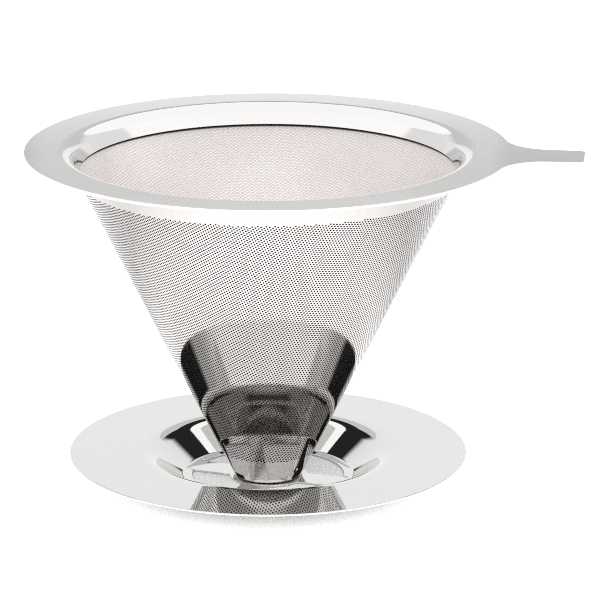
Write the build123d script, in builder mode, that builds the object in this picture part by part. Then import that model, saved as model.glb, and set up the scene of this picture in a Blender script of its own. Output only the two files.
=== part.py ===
"""Stainless steel pour over dripper: a double-walled filter cone on a saucer base.

The dripper is five pressed or rolled sheet pieces, spot-welded together.
Frame: millimetres, +Z up. The origin is on the cone's axis, on the underside of the
saucer's recessed floor, which is what the dripper stands on. The tab handle points along +X.
"""

import os
from math import cos, radians, sin, tan

from build123d import *

# ---- Driving dimensions (mm) -------------------------------------------------------------

# Sheet thicknesses
rim_sheet = 0.7
cone_sheet = 0.3
mesh_sheet = 0.15
cup_sheet = 0.4
base_sheet = 0.5

# Gap left between nested sheets
fit_gap = 0.03

# Heights above the surface that the dripper stands on
plate_top_z = 7.3
rim_top_z = 88.6

# Top flange: flat ring, collar that dips into the cone, and tab handle
flange_radius = 62.5
collar_bend_start_radius = 53.5
collar_lip_radius = 48.3
collar_depth = 5.3
handle_tip_x = 81.3
handle_root_width = 13.4
handle_tip_width = 12.2
handle_root_fillet = 12.0
handle_corner_radius = 1.8
sheared_edge_radius = 0.3

# Filter cone
cone_half_angle = 26.3
cone_top_z = 86.0
cone_foot_bend_radius = 0.9
cone_foot_inner_radius = 6.4

# Cup that closes the lower end of both cones
cup_top_z = 6.1
mesh_end_gap = 0.4

# Saucer base
plate_radius = 52.0
recess_mouth_radius = 34.2
recess_lip_bend_radius = 9.0
recess_foot_bend_radius = 1.0
recess_wall_angle = 38.0
drip_opening_radius = 20.0
hub_radius = 10.2
spoke_width = 7.5
spoke_count = 4
first_spoke_angle = -13.5
spoke_ring_fillet = 0.8
spoke_hub_fillet = 1.2

# ---- Worked-out dimensions ---------------------------------------------------------------

slope = tan(radians(cone_half_angle))
cone_cos = cos(radians(cone_half_angle))
rim_under_z = rim_top_z - rim_sheet
collar_lip_z = rim_top_z - collar_depth
floor_top_z = base_sheet

# The collar turns down until it runs parallel to the cone, with the bend that brings it to its lip
collar_turn = 90.0 - cone_half_angle
collar_bend_radius = (collar_bend_start_radius - collar_lip_radius - collar_depth * slope) / (
    cone_cos - (1 - cos(radians(collar_turn))) * slope
)

# Radii at the height of the collar's lip, working outwards through the nested sheets
collar_outer_at_lip = collar_lip_radius + rim_sheet / cone_cos
mesh_inner_at_lip = collar_outer_at_lip + fit_gap
cone_inner_at_lip = mesh_inner_at_lip + mesh_sheet / cone_cos + fit_gap


def cone_inner_radius(z):
    """Inner radius of the outer cone at height z."""
    return cone_inner_at_lip + (z - collar_lip_z) * slope


def cone_outer_radius(z):
    """Outer radius of the outer cone at height z."""
    return cone_inner_radius(z) + cone_sheet / cone_cos


def cup_inner_radius(z):
    """Inner radius of the cup's conical wall at height z."""
    return cone_inner_radius(z) - fit_gap - cup_sheet / cone_cos


# ---- Top flange: ring, collar and tab handle in one pressing -----------------------------

with BuildPart() as top_flange:
    with BuildSketch(Plane.XY.offset(rim_under_z)):
        with BuildLine():
            Polyline(
                (flange_radius - rim_sheet, handle_root_width / 2),
                (handle_tip_x, handle_tip_width / 2),
                (handle_tip_x, -handle_tip_width / 2),
                (flange_radius - rim_sheet, -handle_root_width / 2),
                close=True,
            )
        make_face()
        tip_corners = vertices().group_by(Axis.X)[-1]
        fillet(tip_corners, radius=handle_corner_radius)
        Circle(flange_radius)
        root_corners = vertices().filter_by(
            lambda v: abs(abs(v.Y) - handle_root_width / 2) < 0.3 and v.X < flange_radius + 1
        )
        fillet(root_corners, radius=handle_root_fillet)
        Circle(collar_bend_start_radius, mode=Mode.SUBTRACT)
    extrude(amount=rim_sheet)
    outline = faces().filter_by(Axis.Z).edges().filter_by(
        lambda e: Vector((e @ 0.5).X, (e @ 0.5).Y).length > flange_radius - 1
    )
    fillet(outline, radius=sheared_edge_radius)

    # The collar rolls over from the ring and runs down parallel to the cone
    with BuildSketch(Plane.XZ):
        with BuildLine() as collar_path:
            roll = JernArc(
                start=(collar_bend_start_radius, rim_top_z),
                tangent=(-1, 0),
                radius=collar_bend_radius,
                arc_size=collar_turn,
            )
            lip_run = (roll @ 1).Y - collar_lip_z
            Line(roll @ 1, ((roll @ 1).X - lip_run * slope, collar_lip_z))
            inner_roll = JernArc(
                start=(collar_bend_start_radius, rim_under_z),
                tangent=(-1, 0),
                radius=collar_bend_radius - rim_sheet,
                arc_size=collar_turn,
            )
            under_run = (inner_roll @ 1).Y - collar_lip_z
            Line(inner_roll @ 1, ((inner_roll @ 1).X - under_run * slope, collar_lip_z))
            Line(
                ((roll @ 1).X - lip_run * slope, collar_lip_z),
                ((inner_roll @ 1).X - under_run * slope, collar_lip_z),
            )
            Line((collar_bend_start_radius, rim_top_z), (collar_bend_start_radius, rim_under_z))
        make_face()
    revolve(axis=Axis.Z)

top_flange.part.label = "top_flange"

# ---- Outer cone: the perforated sheet, with its foot turned in -----------------------------

foot_z = floor_top_z + fit_gap
foot_radius_at_floor = cone_outer_radius(foot_z)

with BuildPart() as outer_cone:
    with BuildSketch(Plane.XZ):
        with BuildLine():
            Polyline(
                (cone_foot_inner_radius, foot_z),
                (foot_radius_at_floor, foot_z),
                (cone_outer_radius(cone_top_z), cone_top_z),
                (cone_inner_radius(cone_top_z), cone_top_z),
                (cone_inner_radius(foot_z + cone_sheet), foot_z + cone_sheet),
                (cone_foot_inner_radius, foot_z + cone_sheet),
                close=True,
            )
        make_face()
        heel = vertices().sort_by_distance((foot_radius_at_floor, foot_z, 0))[0]
        fillet(heel, radius=cone_foot_bend_radius)
        inside_heel = vertices().sort_by_distance(
            (cone_inner_radius(foot_z + cone_sheet), foot_z + cone_sheet, 0)
        )[0]
        fillet(inside_heel, radius=cone_foot_bend_radius - cone_sheet)
    revolve(axis=Axis.Z)

outer_cone.part.label = "outer_cone"

# ---- Bottom cup: closes the cones and carries the spot welds ------------------------------

cup_floor_z = foot_z + cone_sheet + fit_gap
cup_heel_radius = 0.8

with BuildPart() as bottom_cup:
    with BuildSketch(Plane.XZ):
        with BuildLine():
            Polyline(
                (0, cup_floor_z),
                (cone_inner_radius(cup_floor_z) - fit_gap, cup_floor_z),
                (cone_inner_radius(cup_top_z) - fit_gap, cup_top_z),
                (cup_inner_radius(cup_top_z), cup_top_z),
                (cup_inner_radius(cup_floor_z + cup_sheet), cup_floor_z + cup_sheet),
                (0, cup_floor_z + cup_sheet),
                close=True,
            )
        make_face()
        cup_heel = vertices().sort_by_distance(
            (cone_inner_radius(cup_floor_z) - fit_gap, cup_floor_z, 0)
        )[0]
        fillet(cup_heel, radius=cup_heel_radius)
    revolve(axis=Axis.Z)

bottom_cup.part.label = "bottom_cup"

# ---- Inner filter: the fine woven mesh cone ------------------------------------------------

mesh_bottom_z = cup_floor_z + cup_sheet + mesh_end_gap
mesh_top_z = cone_top_z
mesh_width = mesh_sheet / cone_cos
mesh_inner_at_cup_top = cup_inner_radius(cup_top_z) - fit_gap - mesh_width
mesh_slope = (mesh_inner_at_lip - mesh_inner_at_cup_top) / (collar_lip_z - cup_top_z)
mesh_bottom_radius = mesh_inner_at_cup_top - (cup_top_z - mesh_bottom_z) * mesh_slope
mesh_top_radius = mesh_inner_at_lip + (mesh_top_z - collar_lip_z) * slope

with BuildPart() as inner_filter:
    with BuildSketch(Plane.XZ):
        with BuildLine():
            Polyline(
                (mesh_bottom_radius, mesh_bottom_z),
                (mesh_inner_at_lip, collar_lip_z),
                (mesh_top_radius, mesh_top_z),
                (mesh_top_radius + mesh_width, mesh_top_z),
                (mesh_inner_at_lip + mesh_width, collar_lip_z),
                (mesh_bottom_radius + mesh_width, mesh_bottom_z),
                close=True,
            )
        make_face()
    revolve(axis=Axis.Z)

inner_filter.part.label = "inner_filter"

# ---- Base plate: saucer with a recessed, pierced floor -------------------------------------

wall_sin = sin(radians(recess_wall_angle))
wall_cos = cos(radians(recess_wall_angle))
recess_drop = plate_top_z - floor_top_z
lip_drop = recess_lip_bend_radius * (1 - wall_cos)
foot_drop = recess_foot_bend_radius * (1 - wall_cos)
wall_run = (recess_drop - lip_drop - foot_drop) / wall_sin

with BuildPart() as base_plate:
    with BuildSketch(Plane.XZ):
        with BuildLine():
            upper_lip = JernArc(
                start=(recess_mouth_radius, plate_top_z),
                tangent=(-1, 0),
                radius=recess_lip_bend_radius,
                arc_size=recess_wall_angle,
            )
            upper_wall = Line(
                upper_lip @ 1,
                ((upper_lip @ 1).X - wall_run * wall_cos, (upper_lip @ 1).Y - wall_run * wall_sin),
            )
            upper_foot = JernArc(
                start=upper_wall @ 1,
                tangent=(-wall_cos, -wall_sin),
                radius=recess_foot_bend_radius,
                arc_size=-recess_wall_angle,
            )
            Line(upper_foot @ 1, (0, floor_top_z))
            Line((0, floor_top_z), (0, 0))
            Line((plate_radius, plate_top_z), (recess_mouth_radius, plate_top_z))
            Line((plate_radius, plate_top_z), (plate_radius, plate_top_z - base_sheet))
            lower_lip = JernArc(
                start=(recess_mouth_radius, plate_top_z - base_sheet),
                tangent=(-1, 0),
                radius=recess_lip_bend_radius - base_sheet,
                arc_size=recess_wall_angle,
            )
            Line((plate_radius, plate_top_z - base_sheet), lower_lip @ 0)
            lower_wall = Line(
                lower_lip @ 1,
                ((lower_lip @ 1).X - wall_run * wall_cos, (lower_lip @ 1).Y - wall_run * wall_sin),
            )
            lower_foot = JernArc(
                start=lower_wall @ 1,
                tangent=(-wall_cos, -wall_sin),
                radius=recess_foot_bend_radius + base_sheet,
                arc_size=-recess_wall_angle,
            )
            Line(lower_foot @ 1, (0, 0))
        make_face()
    revolve(axis=Axis.Z)

    # Four drip openings leave a hub on four spokes
    with BuildSketch(Plane.XY):
        Circle(drip_opening_radius)
        with Locations(Rotation(0, 0, first_spoke_angle)):
            for turn in range(0, 180, 360 // spoke_count):
                Rectangle(
                    2.2 * drip_opening_radius, spoke_width, rotation=turn, mode=Mode.SUBTRACT
                )
        Circle(hub_radius, mode=Mode.SUBTRACT)
        ring_corners = vertices().filter_by(
            lambda v: abs(v.center().length - drip_opening_radius) < 0.01
        )
        fillet(ring_corners, radius=spoke_ring_fillet)
        hub_corners = vertices().filter_by(lambda v: abs(v.center().length - hub_radius) < 0.01)
        fillet(hub_corners, radius=spoke_hub_fillet)
    extrude(amount=base_sheet, mode=Mode.SUBTRACT)

base_plate.part.label = "base_plate"

# ---- Write one STEP file per piece ---------------------------------------------------------

os.makedirs("parts", exist_ok=True)
for piece in (top_flange, outer_cone, bottom_cup, inner_filter, base_plate):
    export_step(piece.part, f"parts/{piece.part.label}.step")
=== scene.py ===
"""Stainless steel pour over dripper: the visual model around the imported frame.

Shapes are worked out in millimetres and become metres where a mesh is made. Sizes that
the frame holds are read from it, and the rest are named below.
"""

from math import atan2, cos, pi, radians, sin, sqrt, tan

import bmesh
import bpy
import numpy as np
from mathutils import Matrix, Vector
from mathutils.geometry import delaunay_2d_cdt


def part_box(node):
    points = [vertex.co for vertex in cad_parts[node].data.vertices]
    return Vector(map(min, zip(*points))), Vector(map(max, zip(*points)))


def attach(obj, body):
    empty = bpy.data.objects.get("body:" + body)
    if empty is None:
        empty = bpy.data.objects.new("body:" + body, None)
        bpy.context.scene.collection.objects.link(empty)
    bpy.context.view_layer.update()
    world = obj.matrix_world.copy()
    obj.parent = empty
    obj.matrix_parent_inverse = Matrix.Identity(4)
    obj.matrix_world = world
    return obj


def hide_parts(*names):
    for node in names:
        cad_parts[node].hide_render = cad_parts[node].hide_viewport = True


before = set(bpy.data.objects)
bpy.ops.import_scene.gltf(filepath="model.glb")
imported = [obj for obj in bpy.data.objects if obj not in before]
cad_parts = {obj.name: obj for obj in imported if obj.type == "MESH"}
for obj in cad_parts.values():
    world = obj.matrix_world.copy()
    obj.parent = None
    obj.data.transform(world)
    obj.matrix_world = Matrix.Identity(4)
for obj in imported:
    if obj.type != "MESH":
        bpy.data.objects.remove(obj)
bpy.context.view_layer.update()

MM = 0.001

# ---- Sizes read from the frame (mm) --------------------------------------------------------


def extents(node):
    """Lowest and highest corner of a CAD node in millimetres."""
    low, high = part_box(node)
    return low / MM, high / MM


rim_low, rim_high = extents("top_flange")
cone_low, cone_high = extents("outer_cone")
mesh_low, mesh_high = extents("inner_filter")
cup_low, cup_high = extents("bottom_cup")
base_low, base_high = extents("base_plate")

# ---- Named sizes (mm, degrees) -------------------------------------------------------------

# Sheet thicknesses
rim_sheet = 0.7
cone_sheet = 0.3
mesh_sheet = 0.15
cup_sheet = 0.4
base_sheet = 0.5

# Top flange
collar_start_radius = 53.5
collar_lip_radius = 48.3
handle_root_x = 61.8
handle_root_width = 13.4
handle_tip_width = 12.2
root_fillet = 12.0
tip_corner = 1.8
rim_edge_round = 0.14
lip_edge_round = 0.12

# Filter cone, which is a flat sector rolled up
half_angle = radians(26.3)
foot_bend = 0.9
foot_inner_radius = 6.4
hole_radius = 0.27
hole_sides = 6
hole_step_a = (-0.270, 0.790)
hole_step_b = (0.5335, 0.5206)
hole_turn = 76.6
holes_from_z = 7.2
holes_to_z = 81.1
front_azimuth = radians(276.6)
# Clear distances from the holes to the rows of points below and above them, and to the seam
margin_below_holes = 0.5
margin_above_holes = 0.6
seam_margin = 1.5
seam_ridge_half_width = 0.6
seam_ridge_height = 0.05
seam_point_step = 0.8
seam_point_offsets = (0, 0.25, 0.5, 0.8)
weld_z = 3.9
weld_azimuths = [51.0 + 90 * k for k in range(4)]
weld_radius = 0.7
weld_depth = 0.12

# Saucer base
recess_mouth_radius = 34.2
recess_lip_bend = 9.0
recess_foot_bend = 1.0
recess_wall_angle = radians(38.0)
base_edge_round = 0.12
opening_radius = 20.0
hub_radius = 10.2
spoke_width = 7.5
first_spoke_angle = -13.5
spoke_ring_fillet = 0.8
spoke_hub_fillet = 1.2
recess_floor_margin = 0.4
cut_edge_round = 0.06

# Bottom cup
cup_heel = 0.8
cup_top_round = 0.08
cup_floor_ring_radius = 4

# ---- Mesh helpers --------------------------------------------------------------------------


def arc(centre, radius, start, end, steps):
    """Points on an arc about centre, from angle start to angle end in degrees."""
    angles = np.radians(np.linspace(start, end, steps + 1))
    return [(centre[0] + radius * cos(a), centre[1] + radius * sin(a)) for a in angles]


def outward_normals(loop):
    """Unit normals of a closed anticlockwise loop, pointing out of it."""
    along = np.roll(loop, -1, axis=0) - np.roll(loop, 1, axis=0)
    normals = np.stack([along[:, 1], -along[:, 0]], axis=-1)
    return normals / np.linalg.norm(normals, axis=1, keepdims=True)


def make_piece(name, points, faces, node, material):
    """A named smooth-shaded piece that rides on the frame and stands for a CAD node."""
    mesh = bpy.data.meshes.new(name)
    mesh.from_pydata(np.asarray(points) * MM, [], faces)
    mesh.update()
    piece = bpy.data.objects.new(name, mesh)
    bpy.context.scene.collection.objects.link(piece)
    mesh.shade_smooth()
    mesh.materials.append(material)
    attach(piece, "root")
    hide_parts(node)
    return piece


def even_normals(piece):
    """Keeps flat sheet flat in the shading, so that only its small bends curve."""
    modifier = piece.modifiers.new("flat_sheet_normals", "WEIGHTED_NORMAL")
    modifier.keep_sharp = True
    modifier.weight = 100


def merge_close(mesh, distance):
    """Joins the points of a mesh that lie within a distance of each other."""
    build = bmesh.new()
    build.from_mesh(mesh)
    bmesh.ops.remove_doubles(build, verts=build.verts, dist=distance * MM)
    build.to_mesh(mesh)
    build.free()


def grid_faces(rows, columns, close_rows=False):
    """Quads over a grid of points that closes round its columns, and if asked its rows."""
    row = np.arange(rows if close_rows else rows - 1)[:, None]
    column = np.arange(columns)[None, :]
    below, beside = (row + 1) % rows, (column + 1) % columns
    corners = [
        row * columns + column,
        row * columns + beside,
        below * columns + beside,
        below * columns + column,
    ]
    return np.stack([np.broadcast_to(c, (len(row), columns)) for c in corners], -1).reshape(-1, 4)


def turned(profile, columns):
    """Points of a (radius, height) profile turned about the axis, row by row."""
    turn = np.linspace(0, 2 * pi, columns, endpoint=False)
    radius, height = np.array(profile).T
    return np.stack(
        [
            radius[:, None] * np.cos(turn),
            radius[:, None] * np.sin(turn),
            np.repeat(height[:, None], columns, axis=1),
        ],
        axis=-1,
    ).reshape(-1, 3)


# ---- Materials -----------------------------------------------------------------------------


class Nodes:
    """Short names for building one material's node tree."""

    def __init__(self, name):
        self.material = bpy.data.materials.new(name)
        self.material.use_nodes = True
        self.tree = self.material.node_tree
        self.shader = self.tree.nodes["Principled BSDF"]

    def add(self, kind, inputs=None, **settings):
        node = self.tree.nodes.new(kind)
        for key, value in settings.items():
            setattr(node, key, value)
        for key, value in (inputs or {}).items():
            self.put(value, node.inputs[key])
        return node

    def put(self, value, socket):
        """Links an output to a socket, or sets the socket's own value."""
        if isinstance(value, bpy.types.NodeSocket):
            self.tree.links.new(value, socket)
        else:
            socket.default_value = value

    def math(self, operation, a, b=0.0):
        return self.add("ShaderNodeMath", {0: a, 1: b}, operation=operation).outputs[0]

    def ramp(self, value, low, high, to_low, to_high):
        """value carried from the range low-high to the range to_low-to_high."""
        node = self.add(
            "ShaderNodeMapRange", {0: value, 1: low, 2: high, 3: to_low, 4: to_high}
        )
        return node.outputs[0]

    def mix(self, factor, a, b):
        node = self.add("ShaderNodeMix", data_type="RGBA")
        for key, value in ((0, factor), (6, a), (7, b)):
            self.put(value, node.inputs[key])
        return node.outputs[2]

    def noise(self, vector, scale, detail=2.0):
        node = self.add("ShaderNodeTexNoise", {"Vector": vector, "Scale": scale, "Detail": detail})
        return node.outputs["Fac"]

    def object_point(self):
        return self.add("ShaderNodeTexCoord").outputs["Object"]

    def polar(self, radial, around, along):
        """Object coordinates as (radius, turn, height), each stretched by its own factor."""
        split = self.add("ShaderNodeSeparateXYZ", {0: self.object_point()})
        x, y, z = split.outputs
        squared = self.math("ADD", self.math("MULTIPLY", x, x), self.math("MULTIPLY", y, y))
        radius = self.math("SQRT", squared)
        turn = self.math("ARCTAN2", y, x)
        joined = self.add(
            "ShaderNodeCombineXYZ",
            {
                0: self.math("MULTIPLY", radius, radial),
                1: self.math("MULTIPLY", turn, around),
                2: self.math("MULTIPLY", z, along),
            },
        )
        return joined.outputs[0]

    def metal(self, colour, roughness, bump, strength):
        """Finishes the material as bare metal with a fine relief."""
        self.put(1.0, self.shader.inputs["Metallic"])
        self.put(colour, self.shader.inputs["Base Color"])
        self.put(roughness, self.shader.inputs["Roughness"])
        node = self.add(
            "ShaderNodeBump", {"Height": bump, "Strength": strength, "Distance": 0.02 * MM}
        )
        self.put(node.outputs[0], self.shader.inputs["Normal"])
        return self.material


def hole_waves():
    """Waves per millimetre, as (x, y), whose sum peaks at every hole of the flat sheet."""
    first, second = np.linalg.inv(np.array([hole_step_a, hole_step_b])).T
    return [tuple(first), tuple(second), tuple(first - second)]


def steel(name, light, dark, roughness, brushing, bump_strength):
    """Stainless sheet: fine turned polishing lines over slow, faint changes of tone."""
    n = Nodes(name)
    lines = n.noise(n.polar(*brushing), 1.0, 3.0)
    clouds = n.noise(n.object_point(), 28.0, 3.0)
    tone = n.math("ADD", n.math("MULTIPLY", lines, 0.5), n.math("MULTIPLY", clouds, 0.5))
    colour = n.mix(n.ramp(tone, 0.3, 0.7, 0.0, 1.0), dark, light)
    rough = n.ramp(tone, 0.3, 0.7, roughness[0], roughness[1])
    return n.metal(colour, rough, lines, bump_strength)


def woven_mesh(name, dark, light, lip_shade_z=None):
    """Fine wire mesh with over-and-under wires in the sheet's own flat layout.

    Given the height of the collar's lip, it has a painted shadow, dark from just under the lip
    upwards where the collar shades the mesh, and the painted light and shade of the perforated
    sheet behind it, darker over the sheet's solid metal than over its holes.
    """
    n = Nodes(name)
    split = n.add("ShaderNodeSeparateXYZ", {0: n.add("ShaderNodeTexCoord").outputs["UV"]})
    wires_per_metre = 4000.0
    warp = n.math("SINE", n.math("MULTIPLY", split.outputs[0], wires_per_metre * 2 * pi))
    weft = n.math("SINE", n.math("MULTIPLY", split.outputs[1], wires_per_metre * 2 * pi))
    weave = n.math("MULTIPLY", warp, weft)
    clouds = n.noise(n.object_point(), 40.0, 2.0)
    colour = n.mix(n.ramp(clouds, 0.3, 0.7, 0.0, 1.0), dark, light)
    if lip_shade_z is not None:
        sheet_shade_colour, lip_shadow_colour = (0.56, 0.52, 0.52, 1), (0.05, 0.04, 0.045, 1)
        lip_shadow_from, lip_shadow_to = (lip_shade_z - 0.8) * MM, (lip_shade_z - 0.5) * MM
        waves = None
        for x_share, y_share in hole_waves():
            phase = n.math(
                "ADD",
                n.math("MULTIPLY", split.outputs[0], 2 * pi * x_share / MM),
                n.math("MULTIPLY", split.outputs[1], 2 * pi * y_share / MM),
            )
            wave = n.math("COSINE", phase)
            waves = wave if waves is None else n.math("ADD", waves, wave)
        # Painted light and shade of the perforated sheet behind the mesh: darker over its solid
        # metal, and the mesh's own colour over its holes.
        colour = n.mix(n.ramp(waves, -1.0, 2.0, 0.7, 0.0), colour, sheet_shade_colour)
        # Painted shadow: the mesh turns dark from just below the collar's lip upwards, where the
        # collar shades it.
        height = n.add("ShaderNodeSeparateXYZ", {0: n.object_point()}).outputs[2]
        colour = n.mix(n.ramp(height, lip_shadow_from, lip_shadow_to, 0.0, 1.0), colour, lip_shadow_colour)
    return n.metal(colour, n.ramp(weave, -1.0, 1.0, 0.55, 0.7), weave, 0.3)


rim_steel = steel(
    "rim_steel",
    light=(0.65, 0.645, 0.63, 1),
    dark=(0.61, 0.605, 0.59, 1),
    roughness=(0.13, 0.19),
    brushing=(9000, 3, 2000),
    bump_strength=0.02,
)
collar_steel = steel(
    "collar_steel",
    light=(0.66, 0.655, 0.645, 1),
    dark=(0.62, 0.615, 0.605, 1),
    roughness=(0.06, 0.12),
    brushing=(900, 3, 3000),
    bump_strength=0.03,
)
# A brighter copy of the collar's steel: a painted highlight along the flange's rounded cut edge.
edge_steel_painted_highlight = steel(
    "edge_steel_painted_highlight",
    light=(0.82, 0.815, 0.80, 1),
    dark=(0.76, 0.755, 0.74, 1),
    roughness=(0.10, 0.18),
    brushing=(900, 3, 3000),
    bump_strength=0.03,
)
cone_steel = steel(
    "cone_steel",
    light=(0.58, 0.561, 0.551, 1),
    dark=(0.53, 0.511, 0.501, 1),
    roughness=(0.04, 0.09),
    brushing=(400, 40, 400),
    bump_strength=0.02,
)
base_steel = steel(
    "base_steel",
    light=(0.65, 0.65, 0.635, 1),
    dark=(0.61, 0.61, 0.60, 1),
    roughness=(0.02, 0.05),
    brushing=(5000, 3, 800),
    bump_strength=0.015,
)
cup_steel = steel(
    "cup_steel",
    light=(0.70, 0.70, 0.69, 1),
    dark=(0.62, 0.62, 0.61, 1),
    roughness=(0.2, 0.32),
    brushing=(6000, 3, 3000),
    bump_strength=0.12,
)
# Lit and shaded copies of one wire mesh. The inside is painted light, brighter than the steel, and
# also carries the painted shadow under the collar's lip. The outside is painted shade, near black,
# where the outer cone shades it.
mesh_inside_painted_light = woven_mesh(
    "mesh_steel_inside_painted_light",
    dark=(0.76, 0.735, 0.72, 1),
    light=(0.88, 0.855, 0.84, 1),
    lip_shade_z=rim_low.z,
)
mesh_outside_painted_shade = woven_mesh(
    "mesh_steel_outside_painted_shade", dark=(0.10, 0.09, 0.095, 1), light=(0.15, 0.14, 0.145, 1)
)

# ---- Top flange ----------------------------------------------------------------------------


def flange_outline():
    """The ring and its tapered tab handle as one closed anticlockwise loop."""
    ring_radius, tip_x = -rim_low.x, rim_high.x
    taper = atan2((handle_root_width - handle_tip_width) / 2, tip_x - handle_root_x)
    to_root = Vector((-cos(taper), sin(taper)))
    away = Vector((sin(taper), cos(taper)))

    corner_y = handle_tip_width / 2 + tip_corner * tan(taper) - tip_corner / cos(taper)
    corner = Vector((tip_x - tip_corner, corner_y))

    start = Vector((handle_root_x, handle_root_width / 2)) + root_fillet * away
    reach = ring_radius + root_fillet
    along = start.dot(to_root)
    fillet = start + (-along - sqrt(along**2 - start.length_squared + reach**2)) * to_root
    fillet_turn = np.degrees(atan2(fillet.y, fillet.x))

    upper = [(tip_x, corner.y * k / 4) for k in range(4)]
    upper += arc(corner, tip_corner, 0, 90 - np.degrees(taper), 10)
    edge_from, edge_to = Vector(upper[-1]), fillet - root_fillet * away
    upper += [tuple(edge_from.lerp(edge_to, k / 10)) for k in range(1, 10)]
    upper += arc(fillet, root_fillet, 270 - np.degrees(taper), 180 + fillet_turn, 20)
    upper += arc((0, 0), ring_radius, fillet_turn, 180, 230)[1:]
    lower = [(x, -y) for x, y in reversed(upper[1:-1])]
    return np.array(upper + lower)


def collar_bend():
    """Radius of the collar's top bend, which brings it to its lip parallel to the cone."""
    depth = rim_high.z - rim_low.z
    run = collar_start_radius - collar_lip_radius - depth * tan(half_angle)
    return run / (cos(half_angle) - (1 - sin(half_angle)) * tan(half_angle))


def build_flange():
    top, lip = rim_high.z, rim_low.z
    bend = collar_bend()
    centre = (collar_start_radius, top - bend)
    lip_outer = collar_lip_radius + rim_sheet / cos(half_angle)
    turn = np.degrees(half_angle)

    # Collar section: up the outside from the lip, or down the inside to it
    inside = arc(centre, bend, 90, 180 - turn, 14)
    outside = arc(centre, bend - rim_sheet, 180 - turn, 90, 14)
    slope_step = lip_edge_round * tan(half_angle)
    lip_inside = [
        (collar_lip_radius + slope_step, lip + lip_edge_round),
        (collar_lip_radius + 0.3 * lip_edge_round, lip + 0.3 * lip_edge_round),
        (collar_lip_radius + lip_edge_round, lip),
    ]
    lip_outside = [
        (lip_outer - lip_edge_round, lip),
        (lip_outer, lip + lip_edge_round),
    ]
    collar = outside[::-1] + lip_outside[::-1] + lip_inside[::-1] + inside[::-1]

    outline = flange_outline()
    normals = outward_normals(outline)
    turns = np.arctan2(outline[:, 1], outline[:, 0])
    rows = [
        np.stack([r * np.cos(turns), r * np.sin(turns), np.full(len(turns), z)], -1)
        for r, z in collar
    ]

    # Edge section: over the top, round the rounded cut edge and back underneath
    edge = arc((0, 0), rim_edge_round, 90, 0, 6)
    section = [(x - rim_edge_round, top - rim_edge_round + y) for x, y in edge]
    section += [(x, 2 * top - rim_sheet - z) for x, z in reversed(section)]
    for inset, z in section:
        flat = outline + inset * normals
        rows.append(np.column_stack([flat, np.full(len(flat), z)]))

    piece = make_piece(
        "rim_and_handle",
        np.concatenate(rows),
        grid_faces(len(rows), len(outline), close_rows=True)[:, ::-1].tolist(),
        "top_flange",
        rim_steel,
    )
    collar_rows, edge_rows = len(collar) - 1, range(len(collar) + 1, len(rows) - 2)
    piece.data.materials.append(collar_steel)
    piece.data.materials.append(edge_steel_painted_highlight)
    # The collar takes the collar steel, and the rounded cut edge takes the brighter steel of its
    # painted highlight.
    for face in piece.data.polygons:
        row = face.index // len(outline)
        face.material_index = 1 if row < collar_rows else 2 if row in edge_rows else 0
    even_normals(piece)
    return piece


# ---- Outer cone ----------------------------------------------------------------------------


class ConeSheet:
    """The outer cone as flat sheet: x runs round it and y up it, from the front line."""

    wrap = sin(half_angle)
    apex_z = cone_high.z - cone_high.x / tan(half_angle)
    seam_from = -front_azimuth * wrap
    seam_to = (2 * pi - front_azimuth) * wrap

    @classmethod
    def slant(cls, z):
        """Distance down the sheet from the apex to height z."""
        return (z - cls.apex_z) / cos(half_angle)

    @classmethod
    def point(cls, slant, azimuth):
        """Flat place of a point of the cone."""
        turn = (azimuth - front_azimuth) * cls.wrap
        return (slant * sin(turn), slant * cos(turn))

    @classmethod
    def rolled(cls, flat):
        """Places and outward normals of flat points on the outside of the rolled cone."""
        slant = np.hypot(flat[:, 0], flat[:, 1])
        azimuth = front_azimuth + np.arctan2(flat[:, 0], flat[:, 1]) / cls.wrap
        east, north = np.cos(azimuth), np.sin(azimuth)
        normals = np.stack(
            [cos(half_angle) * east, cos(half_angle) * north, np.full(len(flat), -sin(half_angle))],
            axis=-1,
        )
        places = np.stack(
            [
                slant * sin(half_angle) * east,
                slant * sin(half_angle) * north,
                slant * cos(half_angle) + cls.apex_z,
            ],
            axis=-1,
        )
        return places, normals


def hole_centres():
    """Staggered hole centres over the sheet, clear of its seam and plain margins."""
    reach = ConeSheet.slant(holes_to_z)
    count = int(reach / 0.6)
    a, b = np.mgrid[-count : count + 1, -count : count + 1]
    grid = a[..., None] * np.array(hole_step_a) + b[..., None] * np.array(hole_step_b)
    centres = grid.reshape(-1, 2)
    slant = np.hypot(centres[:, 0], centres[:, 1])
    turn = np.arctan2(centres[:, 0], centres[:, 1])
    from_seam = np.minimum(turn - ConeSheet.seam_from, ConeSheet.seam_to - turn)
    keep = (
        (slant > ConeSheet.slant(holes_from_z) + hole_radius)
        & (slant < reach - hole_radius)
        & (from_seam > 0)
        & (slant * np.sin(np.clip(from_seam, 0, pi / 2)) > seam_margin)
    )
    return centres[keep]


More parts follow.
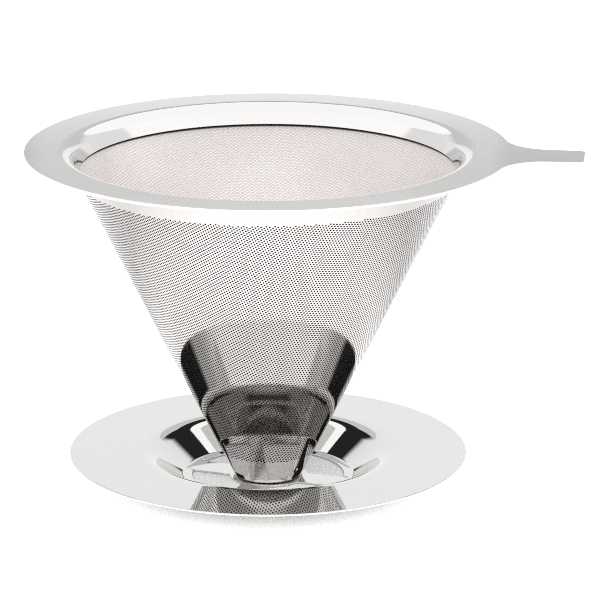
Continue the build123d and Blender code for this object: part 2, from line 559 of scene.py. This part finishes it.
def build_cone():
    foot_corner = cone_high.x - (cone_high.z - cone_low.z) * tan(half_angle)
    foot_run = foot_bend * (1 - sin(half_angle)) / cos(half_angle)
    bottom_slant = ConeSheet.slant(cone_low.z + foot_run * cos(half_angle))
    top_slant = ConeSheet.slant(cone_high.z)
    columns = 360

    # Flat layout: hole corners first, then the plain margins
    centres = hole_centres()
    corners = np.radians(hole_turn + 360 / hole_sides * np.arange(hole_sides))
    offsets = hole_radius * np.stack([np.cos(corners), np.sin(corners)], axis=-1)
    hole_points = (centres[:, None, :] + offsets).reshape(-1, 2)
    plain = []
    margins = np.concatenate(
        [
            np.linspace(bottom_slant, ConeSheet.slant(holes_from_z) - margin_below_holes, 8),
            [ConeSheet.slant(holes_to_z) + margin_above_holes, top_slant],
        ]
    )
    for slant in margins:
        plain += [ConeSheet.point(slant, t) for t in np.linspace(0, 2 * pi, columns + 1)]
    seam_slants = np.arange(
        bottom_slant + seam_point_step, top_slant - seam_point_step / 2, seam_point_step
    )
    for slant in seam_slants:
        for offset in seam_point_offsets:
            turn = offset / (slant * sin(half_angle))
            plain += [ConeSheet.point(slant, turn), ConeSheet.point(slant, 2 * pi - turn)]
    welds = [ConeSheet.point(ConeSheet.slant(weld_z), radians(t)) for t in weld_azimuths]
    for weld in welds:
        for share in (0.25, 0.5, 0.75, 1.0):
            plain += arc(weld, share * weld_radius, 0, 345, 23)

    flat = np.vstack([hole_points, plain])
    hole_edges = [
        (h * hole_sides + k, h * hole_sides + (k + 1) % hole_sides)
        for h in range(len(centres))
        for k in range(hole_sides)
    ]
    points, _, triangles, sources, _, _ = delaunay_2d_cdt(
        [Vector(p) for p in flat.tolist()], hole_edges, [], 0, 1e-6, True
    )
    flat = np.array([p[:] for p in points])
    source = np.array([s[0] if s else -1 for s in sources])
    hole_of = np.where((source >= 0) & (source < len(hole_points)), source // hole_sides, -1)
    triangles = np.array(triangles)

    # Leave out the triangles that lie in a hole or off the sheet
    of = hole_of[triangles]
    in_hole = (of[:, 0] >= 0) & (of[:, 0] == of[:, 1]) & (of[:, 1] == of[:, 2])
    middle = flat[triangles].mean(axis=1)
    slant, turn = np.hypot(middle[:, 0], middle[:, 1]), np.arctan2(middle[:, 0], middle[:, 1])
    slack = 0.01
    on_sheet = (
        (slant > bottom_slant - slack)
        & (slant < top_slant)
        & (turn > ConeSheet.seam_from)
        & (turn < ConeSheet.seam_to)
    )
    triangles = triangles[~in_hole & on_sheet]

    # Roll the sheet up, with spot-weld dimples and a low weld line along the seam
    outer, normals = ConeSheet.rolled(flat)
    lift = np.zeros(len(flat))
    for weld in welds:
        away = np.hypot(flat[:, 0] - weld[0], flat[:, 1] - weld[1]) / weld_radius
        lift -= weld_depth * np.clip(1 - away**2, 0, None) ** 2
    across = np.abs(outer[:, 1]) / seam_ridge_half_width
    ridge = seam_ridge_height * np.clip(1 - across**2, 0, None) ** 2
    lift += np.where(outer[:, 0] > 0, ridge, 0)
    inner = outer - cone_sheet * normals
    outer = outer + lift[:, None] * normals

    ring = np.full(len(hole_points), -1)
    found = np.nonzero(hole_of >= 0)[0]
    ring[source[found]] = found
    ring = ring.reshape(-1, hole_sides)
    beside = np.roll(ring, -1, axis=1)
    count = len(flat)
    walls = np.stack([ring, beside, beside + count, ring + count], axis=-1).reshape(-1, 4)

    # The foot turns in under the cup, and its end closes the sheet
    first = 2 * count
    foot_centre = (foot_corner - foot_run, cone_low.z + foot_bend)
    slope_turn = -np.degrees(half_angle)
    outside_foot = arc(foot_centre, foot_bend, slope_turn, -90, 6)
    inside_foot = arc(foot_centre, foot_bend - cone_sheet, -90, slope_turn, 6)
    foot = outside_foot + [(foot_inner_radius, cone_low.z)]
    foot += [(foot_inner_radius, cone_low.z + cone_sheet)] + inside_foot
    top_edge = [
        (cone_high.x - cone_sheet * cos(half_angle), cone_high.z + cone_sheet * sin(half_angle)),
        (cone_high.x, cone_high.z),
    ]
    foot_points = turned(foot, columns)
    edge_points = turned(top_edge, columns)
    foot_faces = grid_faces(len(foot), columns)[:, ::-1] + first
    edge_faces = grid_faces(len(top_edge), columns)[:, ::-1] + first + len(foot_points)

    faces = triangles.tolist() + (triangles[:, ::-1] + count).tolist()
    faces += walls.tolist() + foot_faces.tolist() + edge_faces.tolist()
    piece = make_piece(
        "perforated_cone",
        np.concatenate([outer, inner, foot_points, edge_points]),
        faces,
        "outer_cone",
        cone_steel,
    )

    # Close the seam and the foot, and keep the rims of the holes crisp
    mesh = piece.data
    merge_close(mesh, 0.004)
    mesh.set_sharp_from_angle(angle=radians(40))
    return piece


# ---- Inner filter --------------------------------------------------------------------------


def build_inner_filter():
    """The wire mesh, with its flat layout as texture coordinates in metres."""
    columns, rows = 256, 60
    width = mesh_sheet / cos(half_angle)
    height = mesh_high.z - mesh_low.z
    outside = [
        (mesh_high.x - height * (1 - k / rows) * tan(half_angle), mesh_low.z + height * k / rows)
        for k in range(rows + 1)
    ]
    profile = outside + [(r - width, z) for r, z in reversed(outside)]
    piece = make_piece(
        "mesh_cone",
        turned(profile, columns),
        grid_faces(len(profile), columns, close_rows=True).tolist(),
        "inner_filter",
        mesh_inside_painted_light,
    )
    piece.data.materials.append(mesh_outside_painted_shade)
    layout = piece.data.uv_layers.new(name="flat_sheet")
    for face in piece.data.polygons:
        row, column = divmod(face.index, columns)
        # The outer faces take the mesh's painted shade, and the inner faces take its painted light.
        face.material_index = 1 if row < rows else 0
        above = (row + 1) % len(profile)
        corners = ((row, column), (row, column + 1), (above, column + 1), (above, column))
        for loop, (r, c) in zip(face.loop_indices, corners):
            slant = ConeSheet.slant(profile[r][1]) * MM
            layout.data[loop].uv = ConeSheet.point(slant, c / columns * 2 * pi)
    return piece


# ---- Bottom cup ----------------------------------------------------------------------------


def build_cup():
    columns = 180
    heel = cup_heel
    width = cup_sheet / cos(half_angle)
    floor_radius = cup_high.x - (cup_high.z - cup_low.z) * tan(half_angle)
    heel_run = heel * (1 - sin(half_angle)) / cos(half_angle)
    heel_centre = (floor_radius - heel_run, cup_low.z + heel)
    outside = [(0, cup_low.z), (cup_floor_ring_radius, cup_low.z)]
    outside += arc(heel_centre, heel, -90, -np.degrees(half_angle), 6)
    inner_top = cup_high.x - width
    inside = [
        (cup_high.x, cup_high.z - cup_top_round),
        (cup_high.x - cup_top_round, cup_high.z),
        (inner_top + cup_top_round, cup_high.z),
        (inner_top, cup_high.z - cup_top_round),
    ]
    inside += arc(heel_centre, heel - cup_sheet, -np.degrees(half_angle), -90, 5)
    inside += [(cup_floor_ring_radius, cup_low.z + cup_sheet), (0, cup_low.z + cup_sheet)]
    profile = outside + inside
    piece = make_piece(
        "bottom_cup_pressing",
        turned(profile, columns),
        grid_faces(len(profile), columns).tolist(),
        "bottom_cup",
        cup_steel,
    )
    merge_close(piece.data, 0.001)
    even_normals(piece)
    return piece


# ---- Base plate ----------------------------------------------------------------------------


def opening_loop(turn):
    """One drip opening between two spokes as a closed anticlockwise loop, turned by turn."""
    half = spoke_width / 2
    ring_centre_y = half + spoke_ring_fillet
    ring_reach = opening_radius - spoke_ring_fillet
    ring_x = sqrt(ring_reach**2 - ring_centre_y**2)
    ring_angle = np.degrees(atan2(ring_centre_y, ring_x))
    hub_centre_y = half + spoke_hub_fillet
    hub_reach = hub_radius + spoke_hub_fillet
    hub_x = sqrt(hub_reach**2 - hub_centre_y**2)
    hub_angle = np.degrees(atan2(hub_centre_y, hub_x))

    quarter = [(hub_x + (ring_x - hub_x) * k / 6, half) for k in range(6)]
    quarter += arc((ring_x, ring_centre_y), spoke_ring_fillet, -90, ring_angle, 8)
    quarter += arc((0, 0), opening_radius, ring_angle, 45, 14)[1:]
    back = arc((0, 0), hub_radius, 45, hub_angle, 8)[1:-1]
    back += arc((hub_x, hub_centre_y), spoke_hub_fillet, 180 + hub_angle, 270, 8)
    mirrored = [(y, x) for x, y in reversed(quarter[:-1])]
    mirrored_back = [(y, x) for x, y in reversed(back)]
    hub_middle = (hub_radius * cos(pi / 4), hub_radius * sin(pi / 4))
    loop = quarter + mirrored + mirrored_back[1:] + [hub_middle] + back[:-1]
    c, s = cos(radians(turn)), sin(radians(turn))
    return np.array([(c * x - s * y, s * x + c * y) for x, y in loop])


def build_base():
    columns = 360
    top, floor_top = base_high.z, base_sheet
    angle = np.degrees(recess_wall_angle)
    drop = top - floor_top
    lip_drop = recess_lip_bend * (1 - cos(recess_wall_angle))
    foot_drop = recess_foot_bend * (1 - cos(recess_wall_angle))
    wall = (drop - lip_drop - foot_drop) / tan(recess_wall_angle)
    foot_x = recess_mouth_radius - (recess_lip_bend + recess_foot_bend) * sin(recess_wall_angle)
    foot_x -= wall

    lip_centre = (recess_mouth_radius, top - recess_lip_bend)
    foot_centre = (foot_x, floor_top + recess_foot_bend)
    upper = [(foot_x - recess_floor_margin, floor_top)]
    upper += arc(foot_centre, recess_foot_bend, 270, 270 + angle, 8)
    upper += arc(lip_centre, recess_lip_bend, 90 + angle, 90, 28)
    edge = arc((base_high.x - base_edge_round, top - base_edge_round), base_edge_round, 90, 0, 4)
    lower_edge = [(r, 2 * top - base_sheet - z) for r, z in reversed(edge)]
    lower = arc(lip_centre, recess_lip_bend - base_sheet, 90, 90 + angle, 28)
    lower += arc(foot_centre, recess_foot_bend + base_sheet, 270 + angle, 270, 8)
    lower += [(foot_x - recess_floor_margin, 0)]
    profile = upper + edge + lower_edge + lower

    build = bmesh.new()
    grid = [build.verts.new(p) for p in turned(profile, columns)]
    for face in grid_faces(len(profile), columns):
        build.faces.new([grid[k] for k in face[::-1]])

    # The floor inside the recess is flat, pierced by the openings, with eased cut edges
    loops = [opening_loop(first_spoke_angle + 90 * k) for k in range(4)]
    levels = (
        (cut_edge_round, floor_top),
        (0, floor_top - cut_edge_round),
        (0, cut_edge_round),
        (cut_edge_round, 0),
    )
    rims = []
    for loop in loops:
        normals = outward_normals(loop)
        rows = []
        for spread, z in levels:
            rows.append([build.verts.new((*p, z)) for p in loop + spread * normals])
        for above, below in zip(rows, rows[1:]):
            for k in range(len(loop)):
                n = (k + 1) % len(loop)
                build.faces.new([above[k], above[n], below[n], below[k]])
        rims.append((rows[0], rows[-1]))
    for side, grid_row in ((0, grid[:columns]), (1, grid[-columns:])):
        outline = [
            build.edges.get((grid_row[k], grid_row[(k + 1) % columns])) for k in range(columns)
        ]
        for rim in rims:
            verts = rim[side]
            outline += [
                build.edges.get((verts[k], verts[(k + 1) % len(verts)]))
                for k in range(len(verts))
            ]
        filled = bmesh.ops.triangle_fill(build, use_beauty=True, use_dissolve=False, edges=outline)
        facing = 1 if side == 0 else -1
        for face in filled["geom"]:
            if isinstance(face, bmesh.types.BMFace):
                face.normal_update()
                if face.normal.z * facing < 0:
                    face.normal_flip()

    build.verts.index_update()
    points = [v.co[:] for v in build.verts]
    faces = [[v.index for v in f.verts] for f in build.faces]
    build.free()
    piece = make_piece("saucer_base", points, faces, "base_plate", base_steel)
    even_normals(piece)
    return piece


build_flange()
build_cone()
build_inner_filter()
build_cup()
build_base()

# ---- Stage, light and camera ---------------------------------------------------------------

# A pale floor, with a glow that keeps it white beside the saucer and dies out under it.
# Distances from the axis and sizes here are in metres.
floor_size = 6.0
floor_gap = 0.0001
glow_under = (0.030, 0.053)
glow_beside = (0.075, 0.110)
glow_levels = (0.12, 1.0, 0.35)
floor_mesh = bpy.data.meshes.new("floor")
floor_mesh.from_pydata(
    [(x * floor_size / 2, y * floor_size / 2, 0) for x, y in ((-1, -1), (1, -1), (1, 1), (-1, 1))],
    [],
    [(0, 1, 2, 3)],
)
floor = bpy.data.objects.new("floor", floor_mesh)
floor.location.z = base_low.z * MM - floor_gap
bpy.context.scene.collection.objects.link(floor)
paper = Nodes("pale_floor")
paper_tone = paper.noise(paper.object_point(), 3.0)
paper.put(
    paper.mix(paper_tone, (0.79, 0.79, 0.79, 1), (0.81, 0.81, 0.81, 1)),
    paper.shader.inputs["Base Color"],
)
paper.put(0.9, paper.shader.inputs["Roughness"])
paper.put((1, 1, 1, 1), paper.shader.inputs["Emission Color"])
from_axis = paper.add("ShaderNodeVectorMath", {0: paper.object_point()}, operation="LENGTH")
distance = from_axis.outputs["Value"]
under_level, beside_level, far_level = glow_levels
floor_glow = paper.math(
    "MINIMUM",
    paper.ramp(distance, *glow_under, under_level, beside_level),
    paper.ramp(distance, *glow_beside, beside_level, far_level),
)
paper.put(floor_glow, paper.shader.inputs["Emission Strength"])
floor_mesh.materials.append(paper.material)

world = bpy.data.worlds.new("white_studio")
bpy.context.scene.world = world
world.use_nodes = True
sky = world.node_tree
sky.nodes.clear()


def sky_node(kind, **settings):
    node = sky.nodes.new(kind)
    for key, value in settings.items():
        setattr(node, key, value)
    return node


# White walls, brightest at the sides and dim on the camera's side, round a soft box overhead
# that leans to the camera. The dark gap between the two gives polished steel its contrast.
# Pairs are the start and end of a smooth change, by how far a direction agrees with an axis.
wall_top = (0.45, 0.54)
wall_side_rise = 0.12
wall_brightness = (1.4, 0.80)
wall_back = (0.70, 0.95)
camera_side_glow = 0.15
camera_side = (-0.75, -0.45)
box_lean = radians(20)
box_edge = (0.57, 0.64)
box_brightness = 1.35
core_edge = (0.68, 0.90)
core_brightness = 1.8
gap_glow = 0.03
backdrop_brightness = 1.1

# Reflector cards close to the dripper: one over it and two behind it. The two behind it are
# given as half width, bottom, top and brightness.
panel_radius = 130.0
panel_front = -45.0
panel_height = 150.0
panel_brightness = 1.40
card_distance = 240.0
low_card = (170.0, 0.0, 140.0, 1.12)
high_card = (75.0, 140.0, 215.0, 0.76)


def leaning(angle):
    """Unit vector that leans from straight up towards the camera's side."""
    return (
        sin(angle) * cos(front_azimuth),
        sin(angle) * sin(front_azimuth),
        cos(angle),
    )


direction = sky_node("ShaderNodeTexCoord")


def along(axis):
    """How far the direction of a ray agrees with an axis, from -1 to 1."""
    node = sky_node("ShaderNodeVectorMath", operation="DOT_PRODUCT")
    sky.links.new(direction.outputs["Generated"], node.inputs[0])
    node.inputs[1].default_value = axis
    return node.outputs["Value"]


def glow(value, edges, glow_from, glow_to):
    """Brightness that changes smoothly from one level to another between two edges."""
    node = sky_node("ShaderNodeMapRange", interpolation_type="SMOOTHSTEP")
    for key, setting in ((1, edges[0]), (2, edges[1]), (3, glow_from), (4, glow_to)):
        node.inputs[key].default_value = setting
    sky.links.new(value, node.inputs[0])
    return node.outputs[0]


def combined(operation, a, b):
    node = sky_node("ShaderNodeMath", operation=operation)
    sky.links.new(a, node.inputs[0])
    sky.links.new(b, node.inputs[1])
    return node.outputs[0]


backwards = along(leaning(-pi / 2))
wall_tone = combined(
    "MULTIPLY",
    glow(backwards, wall_back, *wall_brightness),
    glow(backwards, camera_side, camera_side_glow, 1.0),
)
aside = along((-sin(front_azimuth), cos(front_azimuth), 0))
rise = combined("MULTIPLY", aside, aside)
rise = glow(rise, (0.0, 1.0), 0.0, wall_side_rise)
wall_level = combined("SUBTRACT", along((0, 0, 1)), rise)
walls = combined("MULTIPLY", wall_tone, glow(wall_level, wall_top, 1.0, 0.0))
box_level = along(leaning(box_lean))
box = glow(box_level, box_edge, gap_glow, box_brightness)
core = glow(box_level, core_edge, 0.0, core_brightness)
wall_glow = sky_node("ShaderNodeBackground")
sky.links.new(
    combined("ADD", combined("MAXIMUM", walls, box), core), wall_glow.inputs["Strength"]
)
backdrop = sky_node("ShaderNodeBackground")
backdrop.inputs["Strength"].default_value = backdrop_brightness
seen = sky_node("ShaderNodeLightPath")
choose = sky_node("ShaderNodeMixShader")
sky.links.new(seen.outputs["Is Camera Ray"], choose.inputs[0])
sky.links.new(wall_glow.outputs[0], choose.inputs[1])
sky.links.new(backdrop.outputs[0], choose.inputs[2])
sky_out = sky_node("ShaderNodeOutputWorld")
sky.links.new(choose.outputs[0], sky_out.inputs[0])


def reflector(name, outline, brightness):
    """A glowing studio card, which the dripper's surfaces see and the camera doesn't."""
    mesh = bpy.data.meshes.new(name)
    mesh.from_pydata(np.asarray(outline) * MM, [], [tuple(range(len(outline)))])
    n = Nodes(name)
    n.put((0, 0, 0, 1), n.shader.inputs["Base Color"])
    n.put((1, 1, 1, 1), n.shader.inputs["Emission Color"])
    n.put(brightness, n.shader.inputs["Emission Strength"])
    mesh.materials.append(n.material)
    sheet = bpy.data.objects.new(name, mesh)
    bpy.context.scene.collection.objects.link(sheet)
    sheet.rotation_euler.z = front_azimuth + pi / 2
    sheet.visible_camera = False
    sheet.visible_shadow = False


cut = np.degrees(np.arcsin(panel_front / panel_radius))
reflector(
    "overhead_panel",
    [(x, y, panel_height) for x, y in arc((0, 0), panel_radius, 180 - cut, cut, 72)],
    panel_brightness,
)
for name, (half_width, bottom, top, brightness) in (
    ("low_back_card", low_card),
    ("high_back_card", high_card),
):
    corners = ((-half_width, bottom), (half_width, bottom), (half_width, top), (-half_width, top))
    reflector(name, [(x, card_distance, z) for x, z in corners], brightness)

scene = bpy.context.scene
scene.view_settings.view_transform = "Standard"
scene.cycles.max_bounces = 24
scene.cycles.glossy_bounces = 16
scene.cycles.transparent_max_bounces = 24
scene.cycles.filter_width = 1.0
scene.cycles.use_denoising = False

# The camera stands in front, a little above, with the handle pointing to its right
camera_distance = 941.8
camera_height = 322.1
handle_turn = radians(-6.584)
pitch_down = radians(16.227)
yaw_right = radians(0.508)
roll = radians(-0.047)
focal_in_widths = 6.290833

lens_data = bpy.data.cameras.new("photo_camera")
lens_data.sensor_width = 36.0
lens_data.lens = focal_in_widths * lens_data.sensor_width
lens_data.clip_start, lens_data.clip_end = 0.01, 20.0
camera = bpy.data.objects.new("photo_camera", lens_data)
scene.collection.objects.link(camera)
forward = Vector(
    (sin(yaw_right) * cos(pitch_down), cos(yaw_right) * cos(pitch_down), -sin(pitch_down))
)
right = Vector((cos(yaw_right), -sin(yaw_right), 0))
down = forward.cross(right)
right, down = cos(roll) * right + sin(roll) * down, -sin(roll) * right + cos(roll) * down
axes = Matrix((right, -down, -forward)).transposed().to_4x4()
stand = Matrix.Translation(Vector((0, -camera_distance, camera_height)) * MM)
camera.matrix_world = Matrix.Rotation(-handle_turn, 4, "Z") @ stand @ axes
scene.camera = camera
